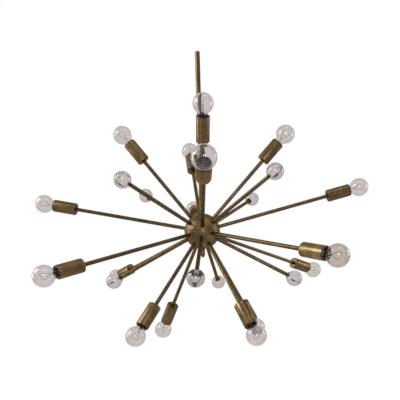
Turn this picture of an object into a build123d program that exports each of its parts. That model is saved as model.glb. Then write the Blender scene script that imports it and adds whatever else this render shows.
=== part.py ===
from build123d import *

import math
import os

# Sputnik chandelier: a split brass sphere on a stem, with 24 straight arms.
# 16 arms end in a brass cup with a lamp holder and a clear globe bulb, and
# 8 shorter ones in a solid glass ball. Millimetres and degrees.
#
# Frame: the origin is the centre of the stem's top face and +Z is up. The
# middle of the hub sphere is at (0, 0, -hub_drop). -Y is the front. Azimuth 0
# points to the front and grows towards +X; elevation is above the horizontal.

# Hub sphere, two half shells that meet in a rebate at the equator
hub_drop = 444.0
hub_diameter = 87.0
hub_wall = 1.6
rebate_height = 1.5
rebate_clearance = 0.05

# Stem, a tube with a female thread at each end (threads are plain bores)
stem_diameter = 12.0
stem_wire_way = 8.0
stem_thread_bore = 9.0
stem_thread_depth = 15.0

# Pieces on the hub's own axis
seat_gap = 0.05
thread_clearance = 0.05
nipple_engagement = 12.0
nipple_bore = 6.0
nipple_wire_exit = 5.0
hub_nut_across_flats = 14.0
hub_nut_thickness = 3.0
coupling_diameter = 14.0
coupling_length = 24.0
coupling_thread_depth = 10.0
coupling_flange_diameter = 20.0
coupling_flange_thickness = 2.0
stud_diameter = 5.0
stud_tip_gap = 1.0
terminal_diameter = 34.0
terminal_height = 12.0
terminal_clearance = 0.1
terminal_screw_count = 8
terminal_screw_diameter = 3.0
terminal_screw_head = 4.4
terminal_screw_head_height = 1.2
terminal_screw_depth = 8.0
wire_hole_diameter = 3.2

# Finial, an acorn nut on the stud
finial_diameter = 11.0
finial_height = 21.0
finial_shoulder = 12.0
finial_edge = 0.8
finial_tip_diameter = 1.4
finial_thread_depth = 11.0

# Arms, tubes with a turned-down thread at each end
arm_diameter = 9.0
arm_bore = 5.0
arm_thread_diameter = 8.0
arm_hole_clearance = 0.1
arm_nut_across_flats = 12.0
arm_nut_thickness = 3.0
arm_thread_spare = 1.5

# Distance from the hub's middle to the centre of each bulb's globe or ball
steep_lamp_reach = 308.5
flat_lamp_reach = 407.0
ball_reach = 250.0

# Where the arms point: (azimuth, elevation), clockwise from the front as seen
# from below. Each arm stands a few degrees off its even spacing.
crown_arms = [(4.0, 54.5), (84.5, 47.5), (190.0, 53.0), (269.0, 52.0)]
upper_arms = [(2.0, 11.5), (93.5, 14.5), (185.0, 16.5), (264.5, 12.0)]
lower_arms = [(39.5, -12.0), (127.5, -13.5), (222.5, -14.0), (308.5, -15.0)]
foot_arms = [(35.5, -51.5), (133.0, -53.0), (219.0, -53.5), (309.5, -51.0)]
upper_ball_arms = [(46.0, 25.5), (142.5, 25.0), (225.0, 28.5), (314.5, 23.0)]
lower_ball_arms = [(-3.0, -28.0), (86.0, -29.0), (170.0, -29.5), (266.0, -27.5)]

# Lamp cup
cup_diameter = 30.0
cup_length = 56.0
cup_wall = 1.0
cup_end_wall = 1.5
cup_edge_radius = 2.0
cup_mouth_to_globe = 28.0

# Lamp holder in the cup, with a rim that covers the cup's mouth
holder_diameter = 27.0
holder_rim_diameter = 29.6
holder_rim_height = 1.6
holder_rim_width = 1.7
holder_mouth_bore = 19.4
holder_mouth_depth = 11.5
holder_edge = 1.2
holder_floor = 2.3
entry_nut_diameter = 13.0
entry_nut_thickness = 7.5
entry_engagement = 6.5
chamber_diameter = 16.0
chamber_wall = 2.3
screw_shell_wall = 0.6
screw_shell_length = 13.0
screw_shell_clearance = 0.1
screw_shell_fit = 0.3
contact_diameter = 6.0
contact_thickness = 1.6
contact_gap = 0.3

# Globe bulb with a small screw cap
globe_diameter = 45.0
glass_thickness = 0.8
neck_diameter = 16.6
neck_blend_radius = 20.0
neck_end = 34.0
cap_skirt_diameter = 17.4
cap_skirt_top = 31.5
cap_skirt_end = 38.0
cap_cone_end = 40.0
cap_thread_diameter = 13.8
cap_thread_depth = 0.7
cap_thread_pitch = 2.82
cap_thread_turns = 4
cap_wall = 0.4
cap_fit = 0.1
cap_seat_gap = 0.05
insulator_seat = 2.0
tip_contact_diameter = 4.6
tip_contact_thickness = 0.5
bulb_tip = 55.5
mount_foot_height = 1.2
mount_tube_diameter = 7.0
mount_press_diameter = 4.4
mount_press_start = 22.0
mount_top = 14.0
filament_wire_diameter = 0.7
filament_half_foot = 1.4
filament_half_spread = 8.0
filament_spread_height = 3.5
filament_half_width = 5.8
filament_height = 7.0
filament_corner_radius = 1.0
filament_turn_step = 40.0

# Glass ball with its dished washer
ball_diameter = 39.0
ball_pin_diameter = 5.0
ball_pin_length = 10.0
ball_pin_clearance = 0.1
ball_washer_diameter = 16.0
ball_washer_thickness = 1.2
ball_washer_clearance = 0.1

# Worked-out sizes
hub_radius = hub_diameter / 2
hub_inner_radius = hub_radius - hub_wall
arm_hole_radius = arm_thread_diameter / 2 + arm_hole_clearance
nipple_diameter = stem_thread_bore - 2 * thread_clearance
stud_bore_radius = stud_diameter / 2 + thread_clearance
hex_corner = 1 / math.cos(math.radians(30))
ball_radius = ball_diameter / 2
washer_radius = ball_washer_diameter / 2


def on_sphere(radius, half_width):
    """Height of a sphere of this radius above its middle, half_width off its axis."""
    return math.sqrt(radius**2 - half_width**2)


def along(azimuth, elevation, reach=0.0):
    """Place a piece modelled on +Z on an arm's line, its origin at the reach given."""
    aim = Rot(0, 0, azimuth) * Rot(90 - elevation, 0, 0)
    return Pos(0, 0, -hub_drop) * aim * Pos(0, 0, reach)


def rod(radius, low, high):
    """A cylinder on the Z axis between two heights."""
    return Pos(0, 0, low) * Cylinder(radius, high - low, align=(Align.CENTER, Align.CENTER, Align.MIN))


def turned(*corners):
    """A solid turned about Z from its (radius, height) corners."""
    outline = Polyline([(radius, 0, height) for radius, height in corners], close=True)
    return revolve(make_face(outline), axis=Axis.Z)


def hex_nut(across_flats, thickness, bore_radius):
    """A hexagon nut on Z with its lower face at the origin."""
    blank = extrude(RegularPolygon(across_flats / 2 * hex_corner, 6), thickness)
    return blank - rod(bore_radius, 0, thickness)


def save(node, pieces):
    """Write one node, as one solid or as a group of separate solids."""
    group = Compound(children=[piece.solid() for piece in pieces])
    export_step(group, f"parts/{node}.step")


# ---------------------------------------------------------------- hub and stem

def half_shell(arms, axis_hole_radius, is_upper):
    """Half of the hub sphere, with a hole for each arm and one on the axis."""
    side = 1 if is_upper else -1
    rebate_radius = hub_radius - hub_wall / 2
    shell = Sphere(hub_radius) - Sphere(hub_inner_radius)
    keep = Pos(0, 0, side * hub_diameter) * Box(2 * hub_diameter, 2 * hub_diameter, 2 * hub_diameter)
    half = shell & keep
    if is_upper:
        half -= rod(rebate_radius, 0, rebate_height + rebate_clearance)
    else:
        tongue = rod(rebate_radius - rebate_clearance, 0, rebate_height)
        half += (tongue - Sphere(hub_inner_radius)) & Sphere(hub_radius)
    half -= rod(axis_hole_radius, min(0, side * hub_radius), max(0, side * hub_radius))
    half = Pos(0, 0, -hub_drop) * half
    for azimuth, elevation in arms:
        half -= along(azimuth, elevation) * rod(arm_hole_radius, hub_radius / 2, hub_diameter)
    return half


stem_foot = -hub_drop + on_sphere(hub_radius, stem_thread_bore / 2) + seat_gap
stem = rod(stem_diameter / 2, stem_foot, 0)
stem -= rod(stem_wire_way / 2, stem_foot, 0)
stem -= rod(stem_thread_bore / 2, -stem_thread_depth, 0)
stem -= rod(stem_thread_bore / 2, stem_foot, stem_foot + stem_thread_depth)

terminal_foot = -hub_drop - terminal_height / 2
coupling_foot = terminal_foot - coupling_flange_thickness
coupling_top = coupling_foot + coupling_length
nipple_foot = coupling_top - coupling_thread_depth
nipple_top = stem_foot + nipple_engagement
nipple = rod(nipple_diameter / 2, nipple_foot, nipple_top)
nipple -= rod(nipple_bore / 2, nipple_foot, nipple_top)
hub_nut_top = on_sphere(hub_inner_radius, hub_nut_across_flats / 2 * hex_corner) - seat_gap
hub_nut_foot = -hub_drop + hub_nut_top - hub_nut_thickness
wire_exit_height = (hub_nut_foot + coupling_top) / 2
wire_exit = Rot(90, 0, 0) * rod(nipple_wire_exit / 2, 0, nipple_diameter)
nipple -= Pos(0, 0, wire_exit_height) * wire_exit

hub_nut = hex_nut(hub_nut_across_flats, hub_nut_thickness, stem_thread_bore / 2)
hub_nut = Pos(0, 0, hub_nut_foot) * hub_nut

coupling = rod(coupling_diameter / 2, coupling_foot, coupling_top)
coupling += rod(coupling_flange_diameter / 2, coupling_foot, terminal_foot)
coupling -= rod(stem_thread_bore / 2, nipple_foot, coupling_top)
coupling -= rod(stud_bore_radius, coupling_foot, coupling_foot + coupling_thread_depth)

finial_top = -hub_drop - on_sphere(hub_radius, stud_bore_radius) - seat_gap
stud_foot = finial_top - finial_thread_depth + stud_tip_gap
stud = rod(stud_diameter / 2, stud_foot, coupling_foot + coupling_thread_depth)

# Connector block: a moulded ring on the coupling, with screws over wire holes
terminal_bore_radius = coupling_diameter / 2 + terminal_clearance
terminal_block = rod(terminal_diameter / 2, terminal_foot, terminal_foot + terminal_height)
terminal_block -= rod(terminal_bore_radius, terminal_foot, terminal_foot + terminal_height)
terminal_pitch_radius = (terminal_bore_radius + terminal_diameter / 2) / 2
terminal_screws = []
for index in range(terminal_screw_count):
    turn = Rot(0, 0, 360 / terminal_screw_count * index)
    seat = turn * Pos(terminal_pitch_radius, 0, 0)
    block_top = terminal_foot + terminal_height
    shank_foot = block_top - terminal_screw_depth
    shank = rod(terminal_screw_diameter / 2 - thread_clearance, shank_foot, block_top)
    head = rod(terminal_screw_head / 2, block_top, block_top + terminal_screw_head_height)
    terminal_screws.append(seat * (shank + head))
    terminal_block -= seat * rod(terminal_screw_diameter / 2, shank_foot, block_top)
    wire_hole = Rot(0, 90, 0) * rod(wire_hole_diameter / 2, terminal_pitch_radius, terminal_diameter)
    terminal_block -= Pos(0, 0, shank_foot + wire_hole_diameter / 2) * turn * wire_hole

# Acorn finial, blind-bored for the stud
with BuildSketch(Plane.XZ) as finial_outline:
    with BuildLine():
        top = Line((0, 0), (finial_diameter / 2 - finial_edge, 0))
        edge = Line(top @ 1, (finial_diameter / 2, -finial_edge))
        wall = Line(edge @ 1, (finial_diameter / 2, -finial_shoulder))
        nose = TangentArc(wall @ 1, (finial_tip_diameter / 2, -finial_height), tangent=(0, -1))
        Polyline(nose @ 1, (0, -finial_height), (0, 0))
    make_face()
finial = revolve(finial_outline.sketch, axis=Axis.Z)
finial -= rod(stud_bore_radius, -finial_thread_depth, 0)
finial = Pos(0, 0, finial_top) * finial


# ------------------------------------------------------------------------ arms

arm_shoulder = on_sphere(hub_radius, arm_hole_radius) + seat_gap
arm_nut_top = on_sphere(hub_inner_radius, arm_nut_across_flats / 2 * hex_corner) - seat_gap
arm_nut_foot = arm_nut_top - arm_nut_thickness
arm_start = arm_nut_foot - arm_thread_spare
cup_to_globe = cup_mouth_to_globe + cup_length
nut_bore_radius = arm_thread_diameter / 2 + thread_clearance


def lamp_arm(reach):
    """A wired arm, from inside the hub to inside the lamp holder's entry nut."""
    cup_seat = reach - cup_to_globe
    arm_end = cup_seat + cup_end_wall + entry_engagement
    arm = rod(arm_diameter / 2, arm_shoulder, cup_seat)
    arm += rod(arm_thread_diameter / 2, arm_start, arm_end)
    return arm - rod(arm_bore / 2, arm_start, arm_end)


def ball_arm():
    """A short arm that ends in a pin for its glass ball."""
    washer_back = ball_reach - washer_seat_height - ball_washer_thickness
    arm = rod(arm_diameter / 2, arm_shoulder, washer_back)
    arm += rod(arm_thread_diameter / 2, arm_start, arm_shoulder)
    return arm + rod(ball_pin_diameter / 2, washer_back, ball_reach - ball_radius + ball_pin_length)


def ball_washer():
    """The dished washer between an arm and its ball; the ball's centre is the origin."""
    dish_radius = ball_radius + ball_washer_clearance
    blank = turned(
        (0, -washer_seat_height - ball_washer_thickness),
        (arm_diameter / 2, -washer_seat_height - ball_washer_thickness),
        (washer_radius, -on_sphere(dish_radius, washer_radius) - ball_washer_thickness / 2),
        (washer_radius, -on_sphere(dish_radius, washer_radius)),
        (0, -on_sphere(dish_radius, washer_radius)),
    )
    pin_hole = rod(ball_pin_diameter / 2 + ball_pin_clearance, -2 * ball_radius, 0)
    return blank - Sphere(dish_radius) - pin_hole


def glass_ball():
    """A solid glass ball with a blind hole for the arm's pin."""
    hole_floor = -ball_radius + ball_pin_length + ball_pin_clearance
    pin_hole = rod(ball_pin_diameter / 2 + ball_pin_clearance, -ball_radius, hole_floor)
    return Sphere(ball_radius) - pin_hole


washer_seat_height = ball_radius + ball_washer_clearance


# ----------------------------------------------------------------------- lamps
# Lamp pieces have the centre of the bulb's globe at the origin and the arm's
# line on Z, with the hub on the -Z side.

cup_back = -cup_to_globe
holder_face = -cup_mouth_to_globe + seat_gap
holder_top = holder_face + holder_rim_height
entry_nut_foot = cup_back + cup_end_wall
holder_foot = entry_nut_foot + entry_nut_thickness
contact_top = -bulb_tip - contact_gap
socket_floor = contact_top - contact_thickness
screw_shell_bore = cap_thread_diameter / 2 + screw_shell_fit
screw_shell_outer = screw_shell_bore + screw_shell_wall
socket_pocket = screw_shell_outer + screw_shell_clearance
chamber_top = socket_floor - holder_floor


def lamp_cup():
    """The brass cup: a drawn tube with a closed, softly rounded end."""
    blank = rod(cup_diameter / 2, cup_back, cup_back + cup_length)
    blank = fillet(blank.edges().group_by(Axis.Z)[0], cup_edge_radius)
    inside = rod(cup_diameter / 2 - cup_wall, cup_back + cup_end_wall, cup_back + cup_length)
    inside = fillet(inside.edges().group_by(Axis.Z)[0], cup_edge_radius - cup_wall)
    return blank - inside - rod(arm_hole_radius, cup_back, cup_back + cup_end_wall)


def lamp_holder():
    """The moulded holder: a raised rim, a face with a mouth in it, a pocket for the
    screw shell and a wiring chamber."""
    body = rod(holder_diameter / 2, holder_foot, holder_face)
    body = chamfer(body.edges().group_by(Axis.Z)[0], holder_edge)
    rim = rod(holder_rim_diameter / 2, holder_face, holder_top)
    rim = chamfer(rim.edges().group_by(Axis.Z)[-1], holder_edge / 2)
    body += rim
    body -= rod(holder_rim_diameter / 2 - holder_rim_width, holder_face, holder_top)
    body -= rod(holder_mouth_bore / 2, holder_face - holder_mouth_depth, holder_face)
    body -= rod(socket_pocket, socket_floor, holder_face)
    return body - rod(chamber_diameter / 2, holder_foot, chamber_top)


def entry_nut():
    """The nut that clamps the cup to its arm and carries the holder."""
    nut = rod(entry_nut_diameter / 2, entry_nut_foot, holder_foot)
    nut += rod(chamber_diameter / 2 - screw_shell_clearance, holder_foot, holder_foot + chamber_wall)
    nut -= rod(nut_bore_radius, entry_nut_foot, entry_nut_foot + entry_engagement)
    return nut - rod(arm_bore / 2, entry_nut_foot, holder_foot + chamber_wall)


def screw_shell():
    """The brass screw shell that grips the bulb's cap."""
    shell_top = holder_face - holder_mouth_depth
    shell_foot = shell_top - screw_shell_length
    shell = rod(screw_shell_outer, shell_foot, shell_top)
    return shell - rod(screw_shell_bore, shell_foot, shell_top)


def centre_contact():
    """The sprung tongue under the bulb's tip, drawn as a button on the socket floor."""
    return rod(contact_diameter / 2, socket_floor, contact_top)


def globe_curve(depth):
    """The bulb's outline from the top of the globe to the neck, sunk by a depth."""
    globe = globe_diameter / 2 - depth
    neck = neck_diameter / 2 - depth
    blend = neck_blend_radius + depth
    blend_x = neck + blend
    blend_z = -math.sqrt((globe + blend) ** 2 - blend_x**2)
    share = globe / (globe + blend)
    join_angle = math.degrees(math.atan2(blend_z, blend_x))
    side = CenterArc((0, 0), globe, 90, join_angle - 90)
    joint = (blend_x * share, blend_z * share)
    waist = TangentArc(joint, (neck, blend_z), tangent=side % 1)
    return side, waist


def bulb_glass():
    """The blown glass, sealed round its mount: a hollow globe with a glass stem in it."""
    with BuildSketch(Plane.XZ) as wall:
        with BuildLine():
            side, waist = globe_curve(0)
            foot = Line(waist @ 1, (neck_diameter / 2, -neck_end))
            base = Line(foot @ 1, (0, -neck_end))
            Line(base @ 1, side @ 0)
        make_face()
    with BuildSketch(Plane.XZ) as hollow:
        with BuildLine():
            side, waist = globe_curve(glass_thickness)
            mount_foot = -neck_end + mount_foot_height
            Polyline(
                waist @ 1,
                (neck_diameter / 2 - glass_thickness, mount_foot),
                (mount_tube_diameter / 2, mount_foot),
                (mount_tube_diameter / 2, -mount_press_start),
                (mount_press_diameter / 2, -mount_press_start + mount_foot_height),
                (mount_press_diameter / 2, -mount_top),
                (0, -mount_top),
                side @ 0,
            )
        make_face()
    return revolve(wall.sketch, axis=Axis.Z) - revolve(hollow.sketch, axis=Axis.Z)


cap_bore = neck_diameter / 2 + cap_fit
cap_crest = cap_thread_diameter / 2
cap_root = cap_crest - cap_thread_depth
cap_end = cap_cone_end + cap_thread_pitch * cap_thread_turns
insulator_end = bulb_tip - tip_contact_thickness


def bulb_cap():
    """The brass screw cap: a skirt for the neck, a cone and a rolled thread."""
    corners = [(cap_bore, -cap_skirt_top), (cap_skirt_diameter / 2, -cap_skirt_top)]
    corners += [(cap_skirt_diameter / 2, -cap_skirt_end), (cap_root, -cap_cone_end)]
    for index in range(cap_thread_turns):
        start = -cap_cone_end - cap_thread_pitch * index
        corners += [(cap_crest, start - cap_thread_pitch / 2), (cap_root, start - cap_thread_pitch)]
    corners += [(cap_root - cap_wall, -cap_end), (cap_root - cap_wall, -cap_cone_end)]
    corners += [(cap_bore - cap_wall, -cap_skirt_end), (cap_bore - cap_wall, -neck_end)]
    corners += [(cap_bore, -neck_end)]
    return turned(*corners)


def tip_insulator():
    """The black glass disc that closes the cap and tapers to the tip contact."""
    plug_radius = cap_root - cap_wall - cap_seat_gap
    rim_top = -cap_end - cap_seat_gap
    return turned(
        (0, insulator_seat - cap_end),
        (plug_radius, insulator_seat - cap_end),
        (plug_radius, rim_top),
        (cap_root, rim_top),
        (tip_contact_diameter / 2, -insulator_end),
        (0, -insulator_end),
    )


def tip_contact():
    """The soldered contact at the very tip of the bulb."""
    return rod(tip_contact_diameter / 2, -bulb_tip, -insulator_end - cap_seat_gap)


def filament_loop():
    """Lead wires that spread and hook inwards, and the filament, as one bent wire."""
    path = FilletPolyline(
        (-filament_half_foot, 0, -mount_top),
        (-filament_half_spread, 0, filament_spread_height),
        (-filament_half_width, 0, filament_height),
        (filament_half_width, 0, filament_height),
        (filament_half_spread, 0, filament_spread_height),
        (filament_half_foot, 0, -mount_top),
        radius=filament_corner_radius,
    )
    section = Plane(origin=path @ 0, z_dir=path % 0) * Circle(filament_wire_diameter / 2)
    loop = sweep(section, path=path)
    return loop - rod(globe_diameter / 2, -neck_end, -mount_top + cap_seat_gap)


# ---------------------------------------------------------------------- export

def copies(piece, arms, reach=0.0):
    """The same piece on each arm of a ring."""
    return [along(azimuth, elevation, reach) * piece for azimuth, elevation in arms]


os.makedirs("parts", exist_ok=True)

lamp_rings = {
    "crown": (crown_arms, steep_lamp_reach),
    "upper": (upper_arms, flat_lamp_reach),
    "lower": (lower_arms, flat_lamp_reach),
    "foot": (foot_arms, steep_lamp_reach),
}
halves = {"upper": ("crown", "upper"), "lower": ("lower", "foot")}
balls = {"upper": upper_ball_arms, "lower": lower_ball_arms}
every_arm = [arm for arms, reach in lamp_rings.values() for arm in arms]
every_arm += upper_ball_arms + lower_ball_arms

save("stem_tube", [stem])
upper_holes = crown_arms + upper_arms + upper_ball_arms
lower_holes = lower_arms + foot_arms + lower_ball_arms
save("upper_half_shell", [half_shell(upper_holes, stem_thread_bore / 2, True)])
save("lower_half_shell", [half_shell(lower_holes, stud_bore_radius, False)])
save("hub_nipple", [nipple])
save("hub_lock_nut", [hub_nut])
save("hub_coupling", [coupling])
save("finial_stud", [stud])
save("terminal_block", [terminal_block])
save("terminal_screws", terminal_screws)
save("finial", [finial])

arm_nut = Pos(0, 0, arm_nut_foot) * hex_nut(arm_nut_across_flats, arm_nut_thickness, nut_bore_radius)
save("arm_lock_nuts", copies(arm_nut, every_arm))
for ring, (arms, reach) in lamp_rings.items():
    save(f"{ring}_lamp_arms", copies(lamp_arm(reach), arms))

lamp_pieces = {"lamp_cups": lamp_cup(), "lamp_holders": lamp_holder()}
for half_name, ring_names in halves.items():
    for kind, piece in lamp_pieces.items():
        group = []
        for ring in ring_names:
            arms, reach = lamp_rings[ring]
            group += copies(piece, arms, reach)
        save(f"{half_name}_{kind}", group)
    save(f"{half_name}_ball_arms", copies(ball_arm(), balls[half_name]))
    save(f"{half_name}_glass_balls", copies(glass_ball(), balls[half_name], ball_reach))
save("ball_washers", copies(ball_washer(), upper_ball_arms + lower_ball_arms, ball_reach))

holder_fittings = {
    "holder_entry_nuts": entry_nut(),
    "holder_screw_shells": screw_shell(),
    "holder_contacts": centre_contact(),
}
for node, piece in holder_fittings.items():
    group = []
    for arms, reach in lamp_rings.values():
        group += copies(piece, arms, reach)
    save(node, group)

glass = bulb_glass()
cap_pieces = [bulb_cap(), tip_insulator(), tip_contact(), filament_loop()]
for ring, (arms, reach) in lamp_rings.items():
    for index, (azimuth, elevation) in enumerate(arms):
        place = along(azimuth, elevation, reach) * Rot(0, 0, filament_turn_step * index)
        save(f"bulb_{ring}_{index + 1}_glass", [place * glass])
        save(f"bulb_{ring}_{index + 1}_cap", [place * piece for piece in cap_pieces])
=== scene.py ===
import math

import bpy
import numpy as np
from mathutils import Matrix, Vector


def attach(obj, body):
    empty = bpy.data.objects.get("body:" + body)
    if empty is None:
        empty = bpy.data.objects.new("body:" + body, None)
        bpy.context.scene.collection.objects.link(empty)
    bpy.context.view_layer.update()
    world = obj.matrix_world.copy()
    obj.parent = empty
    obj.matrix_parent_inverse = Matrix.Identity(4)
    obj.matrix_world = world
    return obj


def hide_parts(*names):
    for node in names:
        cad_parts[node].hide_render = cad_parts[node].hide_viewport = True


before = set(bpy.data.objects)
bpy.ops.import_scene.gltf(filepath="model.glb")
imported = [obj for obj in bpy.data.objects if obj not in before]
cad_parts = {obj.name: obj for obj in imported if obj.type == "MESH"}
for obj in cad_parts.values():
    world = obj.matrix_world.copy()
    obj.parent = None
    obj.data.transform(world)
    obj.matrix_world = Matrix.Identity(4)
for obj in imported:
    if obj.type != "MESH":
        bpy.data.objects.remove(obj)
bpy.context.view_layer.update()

# Sputnik chandelier: aged brass hub and arms, 16 clear globe bulbs and 8 glass balls.
# Metres. The centre of the stem's top face is the origin, +Z is up, -Y is the front.
MM = 0.001

# --------------------------------------------------------------------- sizes

HUB_DROP = 444 * MM
HUB_CENTRE = Vector((0, 0, -HUB_DROP))
HUB_RADIUS = 43.5 * MM
ARM_RADIUS = 4.5 * MM

# Where the arms point, (azimuth, elevation) in degrees, and how far each kind reaches
STEEP_LAMP_REACH = 308.5 * MM
FLAT_LAMP_REACH = 407 * MM
BALL_REACH = 250 * MM
LAMP_RINGS = {
    "crown": ([(4.0, 54.5), (84.5, 47.5), (190.0, 53.0), (269.0, 52.0)], STEEP_LAMP_REACH),
    "upper": ([(2.0, 11.5), (93.5, 14.5), (185.0, 16.5), (264.5, 12.0)], FLAT_LAMP_REACH),
    "lower": ([(39.5, -12.0), (127.5, -13.5), (222.5, -14.0), (308.5, -15.0)], FLAT_LAMP_REACH),
    "foot": ([(35.5, -51.5), (133.0, -53.0), (219.0, -53.5), (309.5, -51.0)], STEEP_LAMP_REACH),
}
BALL_RINGS = {
    "upper": [(46.0, 25.5), (142.5, 25.0), (225.0, 28.5), (314.5, 23.0)],
    "lower": [(-3.0, -28.0), (86.0, -29.0), (170.0, -29.5), (266.0, -27.5)],
}
HALVES = {"upper": ("crown", "upper"), "lower": ("lower", "foot")}

# Cups whose brass is painted lighter than the others' as a painted highlight, and made a little smoother,
# by their arm, from 0 to 1
POLISH_AND_PAINTED_LIGHT = {(39.5, -12.0): 0.8, (222.5, -14.0): 0.6, (35.5, -51.5): 0.7, (2.0, 11.5): 0.4}

# From one copy to the next on the arms: a cup's turn, and the shift of the finish's pattern
CUP_TURN_STEP = 1.1
GRAIN_OFFSET = 0.37

# How far the painted shade round an arm's foot reaches on the hub, darkening it with its patina, and how
# wide the dark seam line is where the half shells meet
FOOT_SHADE_INSIDE = 0.95 * ARM_RADIUS
FOOT_SHADE_REACH = 1.55 * ARM_RADIUS
SEAM_HALF_WIDTH = 0.2 * MM
SEAM_FADE = 1.0 * MM

# Lamp pieces have the centre of the bulb's globe at the origin and the arm's line on Z,
# with the hub on the -Z side
CUP_RADIUS = 15.0 * MM
CUP_WALL = 1.0 * MM
CUP_END_WALL = 1.5 * MM
CUP_EDGE = 2.0 * MM
CUP_LIP = 0.35 * MM
CUP_MOUTH = -28 * MM
CUP_BACK = -84 * MM
ARM_HOLE_RADIUS = 4.1 * MM

HOLDER_RADIUS = 13.5 * MM
HOLDER_FACE = -27.95 * MM
HOLDER_FOOT = -75 * MM
RIM_RADIUS = 14.8 * MM
RIM_TOP = -26.35 * MM
RIM_INSIDE = 13.1 * MM
RIM_EDGE = 0.6 * MM
HOLDER_EDGE = 1.2 * MM
DUSTY_RADIUS = 12.0 * MM
HOLDER_BORE = 9.7 * MM
HOLDER_STEP = -39.45 * MM
HOLDER_POCKET = 7.95 * MM
HOLDER_FLOOR = -57.4 * MM
HOLDER_CHAMBER = 8.0 * MM
HOLDER_CHAMBER_TOP = -59.7 * MM
RIDGE_HEIGHT = 0.45 * MM
RIDGE_COUNT = 4

GLOBE_RADIUS = 22.5 * MM
GLASS_THICKNESS = 0.8 * MM
NECK_RADIUS = 8.3 * MM
NECK_BLEND = 20 * MM
NECK_END = -34 * MM
MOUNT_TUBE_RADIUS = 3.5 * MM
MOUNT_PRESS_RADIUS = 2.2 * MM
MOUNT_PRESS_START = -22 * MM
MOUNT_TOP = -14 * MM

CAP_SKIRT_RADIUS = 8.7 * MM
CAP_SKIRT_TOP = -31.5 * MM
CAP_SKIRT_END = -38 * MM
CAP_CONE_END = -40 * MM
CAP_ROOT_RADIUS = 6.2 * MM
CAP_THREAD_PITCH = 2.82 * MM
CAP_THREAD_TURNS = 3.6
CAP_THREAD_WIRE = 1.0 * MM
CAP_THREAD_RADIUS = 5.9 * MM
CAP_END = CAP_CONE_END - 4 * CAP_THREAD_PITCH
CAP_WALL = 0.4 * MM
TIP_RADIUS = 2.3 * MM
TIP_START = -55 * MM
TIP_END = -55.5 * MM

LEAD_RADIUS = 0.42 * MM
LEAD_FOOT = 1.4 * MM
LEAD_HALF_WIDTH = 8.0 * MM
LEAD_BEND_HEIGHT = 3.5 * MM
LEAD_TIP_HALF = 5.8 * MM
LEAD_TIP_HEIGHT = 7.0 * MM
COIL_RADIUS = 0.32 * MM
COIL_WIRE = 0.09 * MM
COIL_TURNS = 34
COIL_SAG = 1.6 * MM
WIRE_SIDES = 6

# The turn of a ring's first bulb on its arm, and how much further each next one is turned
FIRST_FILAMENT_TURN = math.radians(75)
FILAMENT_TURN_STEP = math.radians(15)

BALL_RADIUS = 19.0 * MM
BALL_PIN_RADIUS = 2.6 * MM
BALL_PIN_FLOOR = -8.9 * MM
WASHER_RADIUS = 8.0 * MM
WASHER_THICKNESS = 1.2 * MM
WASHER_DISH = 19.1 * MM

# Refractive index of the blown bulbs and of the solid balls
GLASS_IOR = 1.38
BALL_IOR = 1.5


# -------------------------------------------------------- node tree helpers

def socket_of(sockets, key):
    """A socket by number, or by name or identifier among those in use."""
    if isinstance(key, int):
        return sockets[key]
    return next(s for s in sockets if s.enabled and key in (s.name, s.identifier))


class Wire:
    """An output socket of a node tree that Python's arithmetic works on."""

    def __init__(self, tree, socket):
        self.tree = tree
        self.socket = socket

    def sum(self, operation, *values):
        return self.tree.node("ShaderNodeMath", {"operation": operation}, dict(enumerate(values)))

    def __add__(self, other):
        return self.sum("ADD", self, other)

    def __sub__(self, other):
        return self.sum("SUBTRACT", self, other)

    def __rsub__(self, other):
        return self.sum("SUBTRACT", other, self)

    def __mul__(self, other):
        return self.sum("MULTIPLY", self, other)

    def __truediv__(self, other):
        return self.sum("DIVIDE", self, other)

    __radd__ = __add__
    __rmul__ = __mul__


class Tree:
    """A node tree to which nodes are added with their settings and links."""

    def __init__(self, node_tree):
        self.nodes = node_tree

    def node(self, kind, settings=None, inputs=None, output=0):
        """Add a node, set its settings, then feed its inputs. Returns one output."""
        made = self.nodes.nodes.new(kind)
        for name, value in (settings or {}).items():
            if name == "stops":
                self.set_stops(made.color_ramp, value)
            else:
                setattr(made, name, value)
        for key, value in (inputs or {}).items():
            socket = socket_of(made.inputs, key)
            if isinstance(value, Wire):
                self.nodes.links.new(value.socket, socket)
            else:
                socket.default_value = value
        return Wire(self, socket_of(made.outputs, output)) if len(made.outputs) else made

    def output_of(self, wire, key):
        """Another output of the node that a wire comes from."""
        return Wire(self, socket_of(wire.socket.node.outputs, key))

    @staticmethod
    def set_stops(ramp, stops):
        while len(ramp.elements) < len(stops):
            ramp.elements.new(0.5)
        for element, (place, colour) in zip(ramp.elements, stops):
            element.position = place
            element.color = colour if len(colour) == 4 else (*colour, 1)


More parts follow.
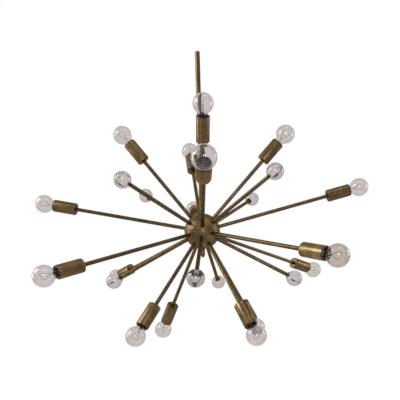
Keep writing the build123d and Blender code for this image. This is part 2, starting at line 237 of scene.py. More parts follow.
class Finish(Tree):
    """A material under construction, with the surface patterns that its finish uses."""

    def __init__(self, name):
        self.material = bpy.data.materials.new(name)
        self.material.use_nodes = True
        super().__init__(self.material.node_tree)
        self.nodes.nodes.clear()

    def place(self):
        return self.node("ShaderNodeTexCoord", output="Object")

    def attribute(self, name, kind="Vector"):
        return self.node("ShaderNodeAttribute", {"attribute_name": name}, output=kind)

    def mapped(self, vector, scale=(1, 1, 1), offset=(0, 0, 0)):
        return self.node("ShaderNodeMapping", None, {"Vector": vector, "Scale": scale, "Location": offset})

    def noise(self, vector, scale, detail=3.0, roughness=0.55, distortion=0.0):
        inputs = {"Vector": vector, "Scale": scale, "Detail": detail}
        inputs |= {"Roughness": roughness, "Distortion": distortion}
        return self.node("ShaderNodeTexNoise", None, inputs)

    def step(self, value, low, high):
        """0 below low, 1 above high, smooth between."""
        inputs = {"Value": value, "From Min": low, "From Max": high}
        return self.node("ShaderNodeMapRange", {"interpolation_type": "SMOOTHSTEP"}, inputs)

    def ramp(self, value, stops):
        return self.node("ShaderNodeValToRGB", {"stops": stops}, {0: value})

    def mix(self, share, first, second):
        """A colour between two colours."""
        def paint(colour):
            return colour if isinstance(colour, Wire) else (*colour, 1)
        inputs = {"Factor_Float": share, "A_Color": paint(first), "B_Color": paint(second)}
        return self.node("ShaderNodeMix", {"data_type": "RGBA"}, inputs, "Result_Color")

    def bump(self, height, strength, distance):
        inputs = {"Height": height, "Strength": strength, "Distance": distance}
        return self.node("ShaderNodeBump", None, inputs)

    def surface(self, **sockets):
        """Finish the material with one Principled shader. Underscores stand for spaces."""
        inputs = {}
        for name, value in sockets.items():
            is_colour = isinstance(value, tuple) and len(value) == 3
            inputs[name.replace("_", " ")] = (*value, 1) if is_colour else value
        shader = self.node("ShaderNodeBsdfPrincipled", None, inputs)
        self.node("ShaderNodeOutputMaterial", None, {"Surface": shader})
        return self.material


# ---------------------------------------------------------------- materials

SOOT_AND_SHADE = (0.020, 0.013, 0.007)
UMBER = (0.046, 0.029, 0.014)
BRONZE = (0.092, 0.060, 0.028)
TAN = (0.20, 0.136, 0.072)
RUSSET = (0.110, 0.060, 0.028)
GOLD = (0.60, 0.41, 0.17)


def aged_brass(name, rubbed=0.35, dark=0.0, slant=0.6, dull=0.0, streaked=False, joints=()):
    """Unlacquered brass with an old brown patina. rubbed is how much tan shows through,
    dark how deep the brown is, slant how light it stays when seen at a slant, dull how
    much rougher it is. streaked draws the patina out along a turned piece and takes the painted highlight
    that some cups get.
    The last argument gives the directions of arms round whose foot the metal is painted darker: painted
    shade where the arm meets the hub, with its patina."""
    finish = Finish(name)
    place = finish.place()
    cloud = finish.noise(place, 38, 4, 0.6, 0.6)
    speck = finish.noise(place, 420, 2)
    drawn = finish.mapped(finish.attribute("grain_place"), (1, 1, 0.06)) if streaked else place
    # Some cups get a painted highlight: a lighter tone from their arm's value, with slightly smoother brass
    polish = finish.attribute("polish", "Fac") if streaked else 0.0
    streak = finish.noise(drawn, 240, 3, 0.6)
    patch = finish.step(finish.noise(place, 75, 3, 0.6, 0.4), 0.52, 0.68)
    tone = cloud * 0.4 + streak * 0.45 + speck * 0.15 + polish * 0.1
    colour = finish.ramp(tone, [(0.34, UMBER), (0.52, BRONZE), (0.74 - 0.1 * rubbed, TAN)])
    colour = finish.mix(patch * 0.5, colour, RUSSET)
    worn = finish.step(tone, 0.72 - 0.24 * rubbed, 0.86 - 0.2 * rubbed)
    colour = finish.mix(worn * rubbed, colour, GOLD)
    soot_and_shade = finish.step(finish.noise(place, 110, 4, 0.65), 0.60, 0.75) * 0.5 + dark
    # Round the arms' feet the hub is painted darker: painted shade where each arm meets it, with patina.
    # The dark seam line is added here too.
    if joints:
        soot_and_shade = soot_and_shade + painted_foot_shade(finish, place, joints) * 0.75 + seam_line(finish, place) * 0.9
    # The dark colour takes the dark patches and tone, the seam line, and the painted shade round the arms'
    # feet.
    colour = finish.mix(finish.step(soot_and_shade, 0, 1), colour, SOOT_AND_SHADE)
    height = cloud * 0.8 + streak * 0.3 + speck * 0.12
    return finish.surface(
        Base_Color=colour,
        Metallic=0.92 - patch * 0.2,
        Roughness=patch * 0.16 - worn * 0.08 + speck * 0.06 - polish * 0.06 + (0.30 + dull),
        Specular_Tint=(slant, 0.85 * slant, 0.65 * slant),
        Normal=finish.bump(height, 0.45, 0.6 * MM),
    )


def seam_line(finish, place):
    """1 along the hub's equator, where the two half shells meet, else 0."""
    height = finish.node("ShaderNodeSeparateXYZ", None, {0: place}, "Z") + HUB_DROP
    return 1 - finish.step(height.sum("ABSOLUTE", height), SEAM_HALF_WIDTH, SEAM_FADE)


def painted_foot_shade(finish, place, directions):
    """Painted shade round the feet of arms that leave the hub in these directions, where each arm meets the
    hub, with its patina: 1 there, else 0.
    """
    minus_centre = finish.node("ShaderNodeVectorMath", {"operation": "SUBTRACT"}, {0: place, 1: HUB_CENTRE})
    unit = finish.node("ShaderNodeVectorMath", {"operation": "NORMALIZE"}, {0: minus_centre})
    closest = None
    for direction in directions:
        product = {"operation": "DOT_PRODUCT"}
        facing = finish.node("ShaderNodeVectorMath", product, {0: unit, 1: direction}, "Value")
        closest = facing if closest is None else closest.sum("MAXIMUM", closest, facing)
    reach = math.cos(math.asin(FOOT_SHADE_REACH / HUB_RADIUS))
    edge = math.cos(math.asin(FOOT_SHADE_INSIDE / HUB_RADIUS))
    return finish.step(closest, reach, edge)


def clear_glass(name, tint, dust, ior, film_tint=None):
    """Blown glass with a thin uneven film of dust that catches the light. An old film
    on the outside darkens what is seen through it at a slant."""
    finish = Finish(name)
    place = finish.place()
    film = finish.step(finish.noise(place, 90, 4, 0.6), 0.45, 0.75)
    wave = finish.noise(place, 55, 1)
    coat = {"Coat_Weight": 1.0, "Coat_IOR": 1.08, "Coat_Tint": film_tint} if film_tint else {}
    return finish.surface(
        Base_Color=finish.mix(film * 0.25, tint, tuple(0.86 * c for c in tint)),
        Roughness=film * dust,
        Transmission_Weight=1.0,
        IOR=ior,
        Normal=finish.bump(wave, 0.05, 0.4 * MM),
        **coat,
    )


def black_moulding(name):
    """Black phenolic whose face, well inside the raised rim, is dull with olive-grey dust."""
    finish = Finish(name)
    place = finish.place()
    dust = finish.step(finish.noise(place, 130, 2, 0.5), 0.25, 0.75)
    flat = finish.mapped(finish.attribute("grain_place"), (1, 1, 0))
    from_axis = finish.node("ShaderNodeVectorMath", {"operation": "LENGTH"}, {0: flat}, "Value")
    sheltered = 1 - finish.step(from_axis, 0.95 * DUSTY_RADIUS, 1.02 * DUSTY_RADIUS)
    dust = dust * (0.12 + sheltered * 0.88)
    return finish.surface(
        Base_Color=finish.mix(dust * 0.85, (0.008, 0.007, 0.006), (0.19, 0.155, 0.10)),
        Roughness=0.35 + dust * 0.5,
        Specular_IOR_Level=0.25,
        Normal=finish.bump(dust, 0.08, 0.1 * MM),
    )


def bright_metal(name, colour, tarnish, roughness):
    """A plated or tinned small part, tarnished in patches."""
    finish = Finish(name)
    place = finish.place()
    stain = finish.step(finish.noise(place, 300, 4, 0.6), 0.4, 0.7)
    return finish.surface(
        Base_Color=finish.mix(stain * 0.7, colour, tarnish),
        Metallic=1.0,
        Roughness=roughness + stain * 0.2,
        Normal=finish.bump(finish.noise(place, 900, 2), 0.15, 0.05 * MM),
    )


def aim(azimuth, elevation):
    """Unit vector of an arm."""
    a, e = math.radians(azimuth), math.radians(elevation)
    return Vector((math.cos(e) * math.sin(a), -math.cos(e) * math.cos(a), math.sin(e)))


def directions(half):
    """The directions of all the arms on one half of the hub."""
    arms = [arm for ring in HALVES[half] for arm in LAMP_RINGS[ring][0]] + BALL_RINGS[half]
    return [aim(*arm) for arm in arms]


stem_brass = aged_brass("aged_brass_stem", rubbed=0.15, dark=0.3, slant=0.5)
arm_brass = aged_brass("aged_brass_arms", rubbed=0.2, dark=0.38, slant=0.6)
cup_brass = aged_brass("aged_brass_cups", rubbed=0.35, dark=0.12, slant=0.7, streaked=True)
finial_brass = aged_brass("aged_brass_finial", rubbed=0.4)
washer_brass = aged_brass("darkened_brass_washers", rubbed=0.1, dark=0.45)
hub_brass = {
    half: aged_brass(
        f"aged_brass_hub_{half}",
        rubbed=0.55, dark=-0.1, slant=0.7, dull=0.06, joints=directions(half),
    )
    for half in HALVES
}
plain_brass = bright_metal("plain_brass_fittings", (0.60, 0.42, 0.18), (0.30, 0.20, 0.09), 0.3)
bulb_glass = clear_glass("bulb_glass", (0.91, 0.885, 0.877), 0.02, GLASS_IOR, (0.84, 0.825, 0.82))
warm_glass = clear_glass("bulb_glass_warm", (0.885, 0.85, 0.825), 0.02, GLASS_IOR, (0.80, 0.77, 0.745))
bulb_inside = clear_glass("bulb_glass_inside", (0.92, 0.90, 0.89), 0.0, GLASS_IOR)
ball_glass = clear_glass("ball_glass", (0.82, 0.79, 0.785), 0.02, BALL_IOR, (0.80, 0.78, 0.775))
moulding = black_moulding("black_moulding")
cap_brass = bright_metal("bulb_cap_brass", (0.62, 0.47, 0.24), (0.34, 0.26, 0.15), 0.28)
solder = bright_metal("bulb_tip_solder", (0.50, 0.50, 0.49), (0.28, 0.28, 0.28), 0.35)
lead_wire = bright_metal("lead_wire_nickel", (0.09, 0.082, 0.078), (0.04, 0.036, 0.034), 0.4)
tungsten = bright_metal("filament_tungsten", (0.16, 0.15, 0.15), (0.08, 0.075, 0.07), 0.45)


# ------------------------------------------------------------------- meshes

def arc(centre, radius, start, end, steps):
    """(radius, height) points of an arc, angles in degrees from the +radius side."""
    angles = np.radians(np.linspace(start, end, steps + 1))
    return [(centre[0] + radius * math.cos(a), centre[1] + radius * math.sin(a)) for a in angles]


def turned(outline, segments, closed=True, crease=35):
    """A mesh turned about Z from (radius, height) points, counter-clockwise round the
    section. Points on the axis become poles; a closed outline is a ring's section."""
    vertices, faces, rows = [], [], []
    for radius, height in outline:
        if radius < 1e-7:
            rows.append([len(vertices)] * segments)
            vertices.append((0, 0, height))
        else:
            rows.append(list(range(len(vertices), len(vertices) + segments)))
            for step in range(segments):
                a = 2 * math.pi * step / segments
                vertices.append((radius * math.cos(a), radius * math.sin(a), height))
    for low, high in zip(rows, rows[1:] + ([rows[0]] if closed else [])):
        for step in range(segments):
            after = (step + 1) % segments
            face = dict.fromkeys([low[step], low[after], high[after], high[step]])
            if len(face) > 2:
                faces.append(tuple(face))
    mesh = bpy.data.meshes.new("turned")
    mesh.from_pydata(vertices, [], faces)
    mesh.shade_smooth()
    mesh.set_sharp_from_angle(angle=math.radians(crease))
    return mesh


def tube(points, radius, sides=8):
    """A round wire with closed ends along a smooth curve through the points."""
    curve = bpy.data.curves.new("wire", "CURVE")
    curve.dimensions = "3D"
    curve.bevel_depth = radius
    curve.bevel_resolution = max(0, sides // 4 - 1)
    curve.use_fill_caps = True
    spline = curve.splines.new("NURBS")
    spline.points.add(len(points) - 1)
    for control, point in zip(spline.points, points):
        control.co = (*point, 1)
    spline.order_u = 3
    spline.use_endpoint_u = True
    holder = show("wire", curve)
    mesh = baked_mesh(holder)
    mesh.shade_smooth()
    return mesh


def show(name, data):
    """A new object of the scene."""
    made = bpy.data.objects.new(name, data)
    bpy.context.scene.collection.objects.link(made)
    return made


def baked_mesh(holder):
    """The evaluated mesh of an object, which is then removed."""
    bpy.context.view_layer.update()
    graph = bpy.context.evaluated_depsgraph_get()
    evaluated = holder.evaluated_get(graph)
    mesh = bpy.data.meshes.new_from_object(evaluated, preserve_all_data_layers=True, depsgraph=graph)
    bpy.data.objects.remove(holder)
    return mesh


def joined(name, parts):
    """One mesh from (mesh, material) pairs, each keeping its material."""
    objects = []
    for mesh, material in parts:
        mesh.materials.clear()
        mesh.materials.append(material)
        objects.append(show(name, mesh))
    with bpy.context.temp_override(active_object=objects[0], selected_editable_objects=objects):
        bpy.ops.object.join()
    mesh = objects[0].data
    bpy.data.objects.remove(objects[0])
    return mesh


# ----------------------------------------------------------- geometry nodes

def geometry_tree(name, inputs):
    """An empty geometry tree with named inputs. Returns the tree, its inputs as wires,
    and the identifier of each input."""
    group = bpy.data.node_groups.new(name, "GeometryNodeTree")
    group.interface.new_socket("Geometry", in_out="INPUT", socket_type="NodeSocketGeometry")
    group.interface.new_socket("Geometry", in_out="OUTPUT", socket_type="NodeSocketGeometry")
    keys = {}
    for label, kind in inputs.items():
        keys[label] = group.interface.new_socket(label, in_out="INPUT", socket_type=kind).identifier
    tree = Tree(group)
    first = tree.node("NodeGroupInput")
    wires = {label: tree.output_of(first, label) for label in ["Geometry", *inputs]}
    return tree, wires, keys


def run_tree(tree, keys, data, **values):
    """The plain mesh that a tree makes of some data with these inputs."""
    holder = show("source", data)
    modifier = holder.modifiers.new("tree", "NODES")
    modifier.node_group = tree.nodes
    for label, value in values.items():
        modifier[keys[label.replace("_", " ")]] = value
    return baked_mesh(holder)


def pieces_on_arms_tree():
    """Puts a copy of a piece at each point, turned to that point's arm."""
    tree, given, keys = geometry_tree("pieces_on_arms", {
        "Piece": "NodeSocketObject",
        "Turn Step": "NodeSocketFloat",
        "Grain Offset": "NodeSocketFloat",
        "Material": "NodeSocketMaterial",
    })
    vector = {"data_type": "FLOAT_VECTOR"}
    piece = tree.node("GeometryNodeObjectInfo", None, {"Object": given["Piece"]}, "Geometry")
    piece = tree.node("GeometryNodeStoreNamedAttribute", vector | {"domain": "POINT"}, {
        "Geometry": piece,
        "Name": "own_place",
        "Value": tree.node("GeometryNodeInputPosition"),
    })
    turn = tree.node("GeometryNodeInputNamedAttribute", vector, {"Name": "arm_turn"})
    copies = tree.node("GeometryNodeInstanceOnPoints", None, {
        "Points": given["Geometry"],
        "Instance": piece,
        "Rotation": tree.node("FunctionNodeEulerToRotation", None, {"Euler": turn}),
    })
    index = tree.node("GeometryNodeInputIndex")
    spin = tree.node("ShaderNodeCombineXYZ", None, {"Z": index * given["Turn Step"]})
    copies = tree.node("GeometryNodeRotateInstances", None, {
        "Instances": copies,
        "Rotation": tree.node("FunctionNodeEulerToRotation", None, {"Euler": spin}),
    })
    copies = tree.node("GeometryNodeStoreNamedAttribute", vector | {"domain": "INSTANCE"}, {
        "Geometry": copies,
        "Name": "arm_offset",
        "Value": tree.node("ShaderNodeCombineXYZ", None, {"Z": index * given["Grain Offset"]}),
    })
    solid = tree.node("GeometryNodeRealizeInstances", None, {"Geometry": copies})
    parts = [
        tree.node("GeometryNodeInputNamedAttribute", vector, {"Name": name})
        for name in ("own_place", "arm_offset")
    ]
    solid = tree.node("GeometryNodeStoreNamedAttribute", vector | {"domain": "POINT"}, {
        "Geometry": solid,
        "Name": "grain_place",
        "Value": tree.node("ShaderNodeVectorMath", {"operation": "ADD"}, dict(enumerate(parts))),
    })
    solid = tree.node("GeometryNodeSetMaterial", None, {"Geometry": solid, "Material": given["Material"]})
    tree.node("NodeGroupOutput", None, {"Geometry": solid})
    return tree, keys


def coiled_wire_tree():
    """Winds a wire in a helix round the path it is given."""
    tree, given, keys = geometry_tree("coiled_wire", {
        "Turns": "NodeSocketFloat",
        "Steps": "NodeSocketInt",
        "Coil Radius": "NodeSocketFloat",
        "Wire Radius": "NodeSocketFloat",
        "Material": "NodeSocketMaterial",
    })
    path = tree.node("GeometryNodeResampleCurve", None, {
        "Curve": given["Geometry"],
        "Count": given["Steps"],
    })
    share = tree.node("GeometryNodeSplineParameter", output="Factor")
    angle = share * given["Turns"] * (2 * math.pi)
    normal = tree.node("GeometryNodeInputNormal")
    tangent = tree.node("GeometryNodeInputTangent")
    side = tree.node("ShaderNodeVectorMath", {"operation": "CROSS_PRODUCT"}, {0: tangent, 1: normal})
    scaled = {"operation": "SCALE"}
    across = given["Coil Radius"] * angle.sum("COSINE", angle)
    up = given["Coil Radius"] * angle.sum("SINE", angle)
    parts = [
        tree.node("ShaderNodeVectorMath", scaled, {"Vector": normal, "Scale": across}),
        tree.node("ShaderNodeVectorMath", scaled, {"Vector": side, "Scale": up}),
    ]
    offset = tree.node("ShaderNodeVectorMath", {"operation": "ADD"}, dict(enumerate(parts)))
    path = tree.node("GeometryNodeSetPosition", None, {"Geometry": path, "Offset": offset})
    ring = tree.node("GeometryNodeCurvePrimitiveCircle", None, {
        "Resolution": WIRE_SIDES,
        "Radius": given["Wire Radius"],
    })
    wire = tree.node("GeometryNodeCurveToMesh", None, {
        "Curve": path,
        "Profile Curve": ring,
        "Fill Caps": True,
    })
    wire = tree.node("GeometryNodeSetShadeSmooth", None, {"Geometry": wire})
    wire = tree.node("GeometryNodeRealizeInstances", None, {"Geometry": wire})
    wire = tree.node("GeometryNodeSetMaterial", None, {"Geometry": wire, "Material": given["Material"]})
    tree.node("NodeGroupOutput", None, {"Geometry": wire})
    return tree, keys


ARMS_TREE = pieces_on_arms_tree()
COIL_TREE = coiled_wire_tree()


def arm_points(arms_and_reach):
    """A mesh of points, one at the end of each arm, that carry the arm's turn."""
    points = [HUB_CENTRE + aim(a, e) * reach for (a, e), reach in arms_and_reach]
    turns = [(math.radians(90 - e), 0, math.radians(a)) for (a, e), reach in arms_and_reach]
    mesh = bpy.data.meshes.new("arm_points")
    mesh.from_pydata(points, [], [])
    attribute = mesh.attributes.new("arm_turn", "FLOAT_VECTOR", "POINT")
    attribute.data.foreach_set("vector", np.array(turns, dtype=np.float32).ravel())
    # Each point also carries its cup's painted highlight, with polish
    polish = mesh.attributes.new("polish", "FLOAT", "POINT")
    polish.data.foreach_set("value", [POLISH_AND_PAINTED_LIGHT.get(arm, 0.0) for arm, reach in arms_and_reach])
    return mesh


def on_arms(name, mesh, arms_and_reach, material, turn_step=0.0, body="fixture"):
    """A piece of the chandelier: copies of a mesh on some arms, riding on one body."""
    template = show("template", mesh)
    tree, keys = ARMS_TREE
    placed = run_tree(
        tree, keys, arm_points(arms_and_reach),
        Piece=template, Turn_Step=turn_step, Grain_Offset=GRAIN_OFFSET, Material=material,
    )
    bpy.data.objects.remove(template)
    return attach(show(name, placed), body)


# ------------------------------------------------------------ lamp and ball

def globe_outline(depth, steps, blend_steps):
    """The bulb's outline from the top of the globe to the end of the neck's blend."""
    globe, neck, blend = GLOBE_RADIUS - depth, NECK_RADIUS - depth, NECK_BLEND + depth
    x = neck + blend
    z = -math.sqrt((globe + blend) ** 2 - x**2)
    angle = math.degrees(math.atan2(z, x))
    return arc((0, 0), globe, 90, angle, steps) + arc((x, z), blend, 180 + angle, 180, blend_steps)[1:]


def envelope_mesh(outside):
    """The blown globe and neck with its wall, and the glass mount sealed into it."""
    outer = globe_outline(0, 40, 12)
    inner = globe_outline(GLASS_THICKNESS, 36, 10)
    neck_inside = NECK_RADIUS - GLASS_THICKNESS
    foot = NECK_END + 1.2 * MM
    mount = [
        (MOUNT_TUBE_RADIUS + 2.0 * MM, foot),
        (MOUNT_TUBE_RADIUS + 0.5 * MM, foot + 1.5 * MM),
        (MOUNT_TUBE_RADIUS, foot + 3.5 * MM),
        (MOUNT_TUBE_RADIUS, MOUNT_PRESS_START - 1.5 * MM),
        (MOUNT_TUBE_RADIUS - 0.5 * MM, MOUNT_PRESS_START),
        (MOUNT_PRESS_RADIUS, MOUNT_PRESS_START + 1.8 * MM),
        (MOUNT_PRESS_RADIUS - 0.2 * MM, MOUNT_TOP - 3.4 * MM),
    ]
    bead = arc((0, MOUNT_TOP - 2.4 * MM), 2.4 * MM, -30, 90, 8)
    outline = [(0, outer[0][1])] + outer[1:] + [(NECK_RADIUS, NECK_END), (0, NECK_END)]
    section = [(neck_inside, foot)] + mount + bead[:-1] + [(0, MOUNT_TOP)]
    shell = turned(outline[::-1], 72, closed=False, crease=50)
    cavity = turned([(0, inner[0][1])] + inner[1:] + section, 72, closed=False, crease=50)
    return joined("envelope", [(shell, outside), (cavity, bulb_inside)])


def screw_base_mesh():
    """The cap with its rolled thread, the black glass disc and the solder tip."""
    root, skirt = CAP_ROOT_RADIUS, CAP_SKIRT_RADIUS
    cap = [
        (root - CAP_WALL, CAP_END), (root, CAP_END), (root, CAP_CONE_END),
        (root + 0.9 * MM, CAP_CONE_END + 0.5 * MM), (skirt - 0.4 * MM, CAP_SKIRT_END - 0.2 * MM),
        (skirt, CAP_SKIRT_END + 0.5 * MM), (skirt, CAP_SKIRT_TOP - 0.4 * MM),
        (skirt - 0.15 * MM, CAP_SKIRT_TOP), (NECK_RADIUS + 0.1 * MM, CAP_SKIRT_TOP),
        (NECK_RADIUS + 0.1 * MM, NECK_END), (NECK_RADIUS - 0.3 * MM, NECK_END),
        (NECK_RADIUS - 0.3 * MM, CAP_SKIRT_END), (root - CAP_WALL, CAP_CONE_END),
    ]
    disc = [
        (0, TIP_START), (TIP_RADIUS, TIP_START), (TIP_RADIUS + 1.6 * MM, TIP_START + 1.6 * MM),
        (root - 0.2 * MM, CAP_END - 0.2 * MM), (root - CAP_WALL, CAP_END),
        (root - CAP_WALL, CAP_END + 2 * MM), (0, CAP_END + 2 * MM),
    ]
    tip = [(0, TIP_END)] + arc((TIP_RADIUS - 0.35 * MM, TIP_END + 0.35 * MM), 0.35 * MM, -90, 0, 4)
    tip += [(TIP_RADIUS, TIP_START + 0.1 * MM), (0, TIP_START + 0.1 * MM)]
    length = CAP_THREAD_PITCH * CAP_THREAD_TURNS
    top = CAP_CONE_END - 0.3 * MM
    core = bpy.data.curves.new("thread_core", "CURVE")
    core.dimensions = "3D"
    line = core.splines.new("POLY")
    line.points.add(1)
    line.points[0].co = (0, 0, top, 1)
    line.points[1].co = (0, 0, top - length, 1)
    tree, keys = COIL_TREE
    thread = run_tree(
        tree, keys, core, Turns=CAP_THREAD_TURNS, Steps=130,
        Coil_Radius=CAP_THREAD_RADIUS, Wire_Radius=CAP_THREAD_WIRE, Material=cap_brass,
    )
    return joined("screw_base", [
        (turned(cap, 48), cap_brass),
        (thread, cap_brass),
        (turned(disc, 48, closed=False), moulding),
        (turned(tip, 32, closed=False), solder),
    ])


def filament_mesh():
    """Two lead wires that spread from the mount, and the coil hung between their hooks."""
    parts = []
    for side in (-1, 1):
        parts.append((tube([
            (side * LEAD_FOOT, 0, MOUNT_TOP - 3 * MM),
            (side * LEAD_FOOT, 0, MOUNT_TOP + 1 * MM),
            (side * LEAD_HALF_WIDTH, 0, LEAD_BEND_HEIGHT - 1.5 * MM),
            (side * LEAD_HALF_WIDTH, 0, LEAD_BEND_HEIGHT + 0.5 * MM),
            (side * LEAD_TIP_HALF, 0, LEAD_TIP_HEIGHT),
            (side * (LEAD_TIP_HALF - 0.6 * MM), 0, LEAD_TIP_HEIGHT + 0.2 * MM),
        ], LEAD_RADIUS), lead_wire))
    support = [(0, 0, MOUNT_TOP - 1 * MM), (0, 0.2 * MM, MOUNT_TOP / 2), (0, 0, LEAD_TIP_HEIGHT - COIL_SAG)]
    parts.append((tube(support, LEAD_RADIUS / 2), lead_wire))
    core = bpy.data.curves.new("coil_core", "CURVE")
    core.dimensions = "3D"
    line = core.splines.new("NURBS")
    points = [(-1, 0), (-0.5, -0.9), (0, -1.25), (0.5, -0.9), (1, 0)]
    line.points.add(len(points) - 1)
    for control, (across, sag) in zip(line.points, points):
        control.co = (across * LEAD_TIP_HALF, 0, LEAD_TIP_HEIGHT + sag * COIL_SAG, 1)
    line.order_u = 3
    line.use_endpoint_u = True
    tree, keys = COIL_TREE
    coil = run_tree(
        tree, keys, core, Turns=COIL_TURNS, Steps=COIL_TURNS * 8,
        Coil_Radius=COIL_RADIUS, Wire_Radius=COIL_WIRE, Material=tungsten,
    )
    return joined("filament", parts + [(coil, tungsten)])


def cup_mesh():
    """The drawn cup: a soft edge at the closed end, a rounded lip at the mouth."""
    inside = CUP_RADIUS - CUP_WALL
    edge, lip = CUP_EDGE, CUP_LIP
    section = [(ARM_HOLE_RADIUS, CUP_BACK)]
    section += arc((CUP_RADIUS - edge, CUP_BACK + edge), edge, -90, 0, 8)
    section += arc((CUP_RADIUS - lip, CUP_MOUTH - lip), lip, 0, 90, 3)
    section += arc((inside + lip, CUP_MOUTH - lip), lip, 90, 180, 3)
    corner = edge - CUP_WALL
    floor = CUP_BACK + CUP_END_WALL
    section += arc((inside - corner, floor + corner), corner, 0, -90, 4)
    section += [(ARM_HOLE_RADIUS, floor)]
    return turned(section, 72, crease=50)


def holder_mesh():
    """The moulded holder: a raised rim over the cup's mouth, a ridged face and a
    stepped, open inside."""
    face, edge = HOLDER_FACE, RIM_EDGE
    section = [(HOLDER_CHAMBER, HOLDER_FOOT), (HOLDER_RADIUS - HOLDER_EDGE, HOLDER_FOOT)]
    section += [(HOLDER_RADIUS, HOLDER_FOOT + HOLDER_EDGE), (HOLDER_RADIUS, face), (RIM_RADIUS, face)]
    section += arc((RIM_RADIUS - edge, RIM_TOP - edge), edge, 0, 90, 5)
    section += arc((RIM_INSIDE + edge, RIM_TOP - edge), edge, 90, 180, 5) + [(RIM_INSIDE, face)]
    width = (RIM_INSIDE - HOLDER_BORE) / (RIDGE_COUNT + 0.5)
    for ridge in range(RIDGE_COUNT):
        start = RIM_INSIDE - (ridge + 0.5) * width
        section += [(start, face), (start - 0.25 * width, face + RIDGE_HEIGHT)]
        section += [(start - 0.6 * width, face + RIDGE_HEIGHT), (start - 0.85 * width, face)]
    section += [(HOLDER_BORE, face - 0.3 * MM), (HOLDER_BORE, HOLDER_STEP)]
    section += [(HOLDER_POCKET, HOLDER_STEP), (HOLDER_POCKET, HOLDER_FLOOR), (0, HOLDER_FLOOR)]
    section += [(0, HOLDER_CHAMBER_TOP), (HOLDER_CHAMBER, HOLDER_CHAMBER_TOP)]
    return turned(section, 64, crease=30)


def ball_mesh():
    """A solid ball with the blind hole for the arm's pin."""
    start = math.degrees(math.asin(BALL_PIN_RADIUS / BALL_RADIUS)) - 90
    section = [(0, BALL_PIN_FLOOR), (BALL_PIN_RADIUS, BALL_PIN_FLOOR)]
    section += arc((0, 0), BALL_RADIUS, start, 90, 60)[:-1] + [(0, BALL_RADIUS)]
    return turned(section, 80, closed=False, crease=50)


def washer_mesh():
    """The dished washer behind a ball, with a rolled rim."""
    reach = math.degrees(math.asin(WASHER_RADIUS / WASHER_DISH)) - 90
    start = math.degrees(math.asin(BALL_PIN_RADIUS / WASHER_DISH)) - 90
    dish = arc((0, 0), WASHER_DISH, start, reach, 10)
    rim = dish[-1]
    back = -WASHER_DISH - WASHER_THICKNESS
    section = [(BALL_PIN_RADIUS, back), (ARM_RADIUS, back)]
    section += arc((rim[0] - 0.1 * MM, rim[1] - 0.35 * MM), 0.35 * MM, -90, 60, 6)
    return turned(section + dish[::-1], 64, crease=40)


# ------------------------------------------------------------ build the parts

def paint(material, *nodes):
    """Give CAD nodes that keep their own shape their finish."""
    for name in nodes:
        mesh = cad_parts[name].data
        mesh.materials.clear()
        mesh.materials.append(material)


paint(stem_brass, "stem_tube")
for half, material in hub_brass.items():
    paint(material, f"{half}_half_shell")
    paint(arm_brass, f"{half}_ball_arms")
paint(arm_brass, *[f"{ring}_lamp_arms" for ring in LAMP_RINGS])
paint(finial_brass, "finial")
paint(plain_brass, "hub_nipple", "hub_lock_nut", "hub_coupling", "finial_stud", "terminal_screws")
paint(plain_brass, "arm_lock_nuts", "holder_entry_nuts", "holder_screw_shells", "holder_contacts")
paint(moulding, "terminal_block")

for half, rings in HALVES.items():
    lamps = [(arm, LAMP_RINGS[ring][1]) for ring in rings for arm in LAMP_RINGS[ring][0]]
    cups = on_arms(f"{half}_cups", cup_mesh(), lamps, cup_brass, turn_step=CUP_TURN_STEP)
    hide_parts(f"{half}_lamp_cups")
    holders = on_arms(f"{half}_holders", holder_mesh(), lamps, moulding)
    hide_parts(f"{half}_lamp_holders")
    arms = [(arm, BALL_REACH) for arm in BALL_RINGS[half]]
    balls = on_arms(f"{half}_balls", ball_mesh(), arms, ball_glass)
    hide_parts(f"{half}_glass_balls")

ball_arms = [(arm, BALL_REACH) for half in HALVES for arm in BALL_RINGS[half]]
washers = on_arms("dished_washers", washer_mesh(), ball_arms, washer_brass)
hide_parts("ball_washers")


def placed_copy(name, mesh, place, body):
    """A copy of a lamp piece, put in place in its mesh."""
    own = mesh.copy()
    own.transform(place)
    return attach(show(name, own), body)


def lamp_place(azimuth, elevation, reach):
    """From a lamp piece's own frame to its place on the arm."""
    swing = Matrix.Rotation(math.radians(azimuth), 4, "Z")
    turn = swing @ Matrix.Rotation(math.radians(90 - elevation), 4, "X")
    return Matrix.Translation(HUB_CENTRE) @ turn @ Matrix.Translation((0, 0, reach))


WARM_BULB = "lower_1"
envelope, warm_envelope = envelope_mesh(bulb_glass), envelope_mesh(warm_glass)
screw_base, filament = screw_base_mesh(), filament_mesh()
for ring, (arms, reach) in LAMP_RINGS.items():
    for index, (azimuth, elevation) in enumerate(arms):
        spin = FIRST_FILAMENT_TURN + FILAMENT_TURN_STEP * index
        place = lamp_place(azimuth, elevation, reach) @ Matrix.Rotation(spin, 4, "Z")
        label = f"{ring}_{index + 1}"
        body = f"bulb_{label}"
        blown = warm_envelope if label == WARM_BULB else envelope
        glass = placed_copy(f"envelope_{label}", blown, place, body)
        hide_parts(f"bulb_{label}_glass")
        base = placed_copy(f"screw_base_{label}", screw_base, place, body)
        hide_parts(f"bulb_{label}_cap")
        wires = placed_copy(f"filament_{label}", filament, place, body)


# ------------------------------------------------------------ studio and camera

FLOOR_HEIGHT = -2.3
FLOOR_HALF = 14.0
WORLD_LEVEL = 0.45
FLOOR_GLOW = 0.60


def seen_as_background(tree):
    """1 for rays that look at the background: the camera's, mirrored and see-through ones."""
    kinds = ("Is Camera Ray", "Is Glossy Ray", "Is Transmission Ray")
    first = tree.node("ShaderNodeLightPath", None, None, kinds[0])
    camera, glossy, through = (tree.output_of(first, kind) for kind in kinds)
    return camera.sum("MAXIMUM", camera, glossy.sum("MAXIMUM", glossy, through))


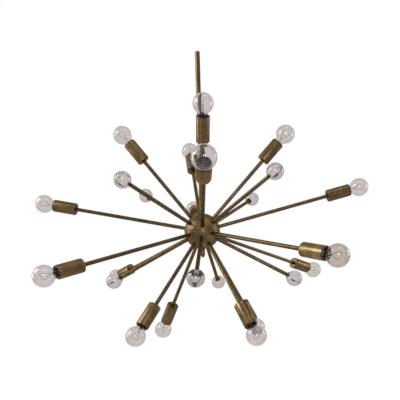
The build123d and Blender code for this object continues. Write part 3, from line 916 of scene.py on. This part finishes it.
def pale_floor():
    """A pale painted floor that keeps shadows and meets the background in white."""
    finish = Finish("pale_floor")
    grain = finish.noise(finish.place(), 6, 3)
    colour = finish.ramp(grain, [(0.3, (0.78, 0.78, 0.78)), (0.7, (0.82, 0.82, 0.82))])
    return finish.surface(
        Base_Color=colour,
        Roughness=0.9,
        Emission_Color=(1.0, 1.0, 1.0),
        Emission_Strength=seen_as_background(finish) * FLOOR_GLOW,
    )


def set_up_studio():
    """The floor, and a world that is white to look at and dimmer as a light."""
    floor = bpy.data.meshes.new("floor")
    side = FLOOR_HALF
    corners = [(-side, -side), (side, -side), (side, side), (-side, side)]
    floor.from_pydata([(x, y, FLOOR_HEIGHT) for x, y in corners], [], [(0, 1, 2, 3)])
    floor.materials.append(pale_floor())
    show("floor", floor)

    world = bpy.data.worlds.new("studio")
    bpy.context.scene.world = world
    world.use_nodes = True
    world.node_tree.nodes.clear()
    tree = Tree(world.node_tree)
    shown = seen_as_background(tree)
    level = shown + (1 - shown) * WORLD_LEVEL
    light = tree.node("ShaderNodeBackground", None, {"Color": (1, 1, 1, 1), "Strength": level})
    tree.node("ShaderNodeOutputWorld", None, {"Surface": light})


def window(name, azimuth, elevation, distance, width, height, power):
    """A soft rectangular lamp that looks at the hub from a direction round it. Like the
    camera, what looks through the glass sees the background in its place."""
    data = bpy.data.lights.new(name, "AREA")
    data.shape = "RECTANGLE"
    data.size, data.size_y, data.energy = width, height, power
    lamp = show(name, data)
    outwards = aim(azimuth, elevation)
    lamp.location = HUB_CENTRE + outwards * distance
    lamp.rotation_mode = "QUATERNION"
    lamp.rotation_quaternion = outwards.to_track_quat("Z", "Y")
    lamp.visible_camera = lamp.visible_transmission = False


# The photograph's view, fitted to the places of the bulbs and balls. The picture is a
# part of a wider one, so the camera's axis doesn't pass through its middle.
FOCAL_PIXELS = 511.61
PICTURE_WIDTH = 400
SENSOR = 36.0
CAMERA_DISTANCE = 1.24874
HUB_PIXEL = (202.28, 231.25)
AXIS_PIXEL = (213.02, 268.7)
CAMERA_PITCH = math.radians(-1.89)
CAMERA_ROLL = math.radians(-1.63)


def set_up_camera():
    """The photograph's view, from the values above."""
    data = bpy.data.cameras.new("photo_view")
    data.sensor_width = SENSOR
    data.lens = FOCAL_PIXELS * SENSOR / PICTURE_WIDTH
    data.shift_x = 0.5 - AXIS_PIXEL[0] / PICTURE_WIDTH
    data.shift_y = AXIS_PIXEL[1] / PICTURE_WIDTH - 0.5
    camera = show("photo_view", data)
    turn = Matrix.Rotation(CAMERA_ROLL, 3, "Y") @ Matrix.Rotation(CAMERA_PITCH, 3, "X")
    right, forward, up = turn
    across = (HUB_PIXEL[0] - AXIS_PIXEL[0]) / FOCAL_PIXELS * CAMERA_DISTANCE
    rise = (AXIS_PIXEL[1] - HUB_PIXEL[1]) / FOCAL_PIXELS * CAMERA_DISTANCE
    place = HUB_CENTRE - turn.transposed() @ Vector((across, CAMERA_DISTANCE, rise))
    columns = Matrix((right, up, -forward)).transposed()
    camera.matrix_world = Matrix.Translation(place) @ columns.to_4x4()
    bpy.context.scene.camera = camera


set_up_studio()
window("left_window", -100, 14, 1.9, 0.5, 1.6, 22)
window("right_window", 96, 8, 1.9, 0.5, 0.9, 12)
window("left_soft_box", -72, 30, 2.0, 0.8, 1.0, 38)
window("front_lamp", 4, 4, 1.9, 0.5, 0.5, 13)
window("overhead_strip", 30, 62, 2.0, 1.2, 0.3, 7)
set_up_camera()
bpy.context.scene.view_settings.view_transform = "Standard"
